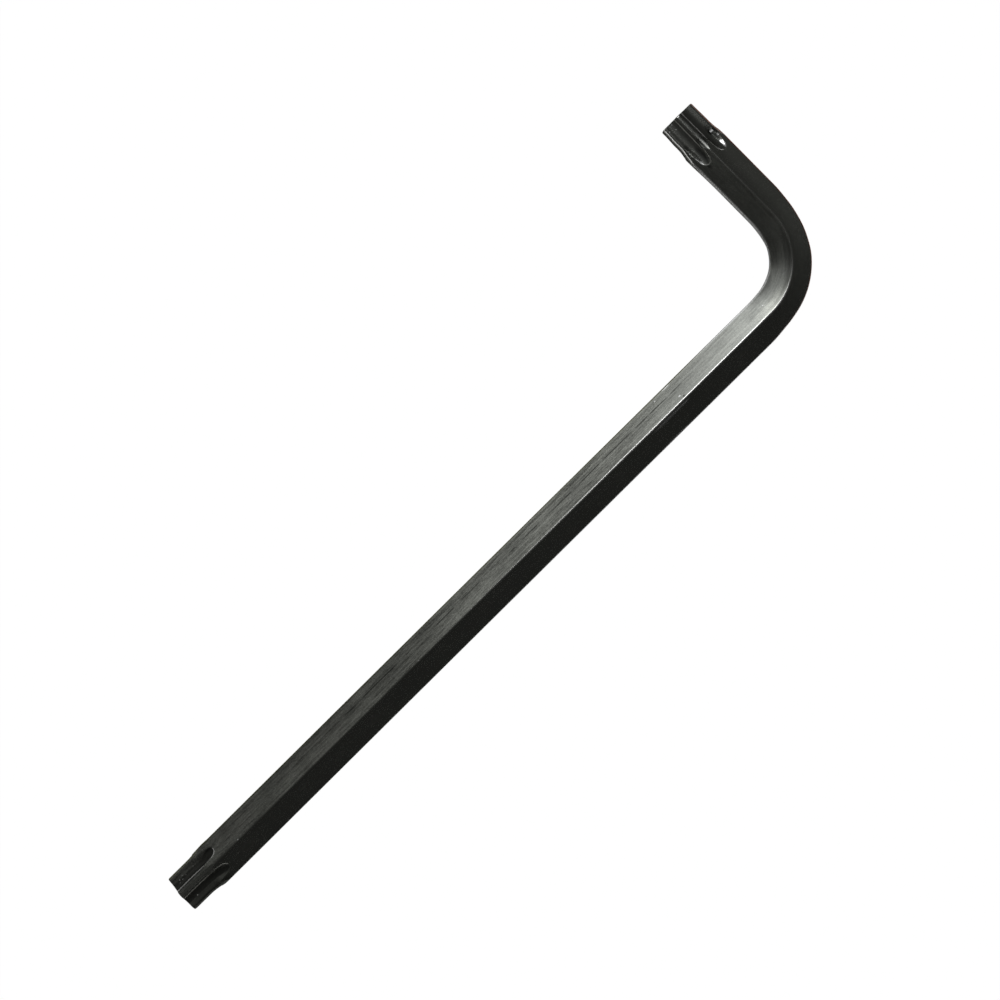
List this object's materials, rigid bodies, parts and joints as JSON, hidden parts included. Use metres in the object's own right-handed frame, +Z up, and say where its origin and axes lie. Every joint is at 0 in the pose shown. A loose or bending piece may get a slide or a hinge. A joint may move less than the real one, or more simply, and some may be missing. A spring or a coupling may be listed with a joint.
{
  "type": "star-drive key",
  "caption": "L-shaped hexagonal steel key with a six-lobe star on the end of each arm, for turning star-drive screws.",
  "frame": {"origin": "floor level, below the middle of the key's overall outline", "axes": "+X along the long arm from its star end towards the bend, +Y along the short arm towards its star end, +Z up; the key lies flat on the edges of its bar"},
  "size_m": [0.1166, 0.0288, 0.0064],
  "materials": {
    "black_oxide_steel": "black oxide, satin, with fine draw lines along the bar"
  },
  "bodies": {
    "root": {"star_key": "black_oxide_steel"}
  },
  "joints": []
}
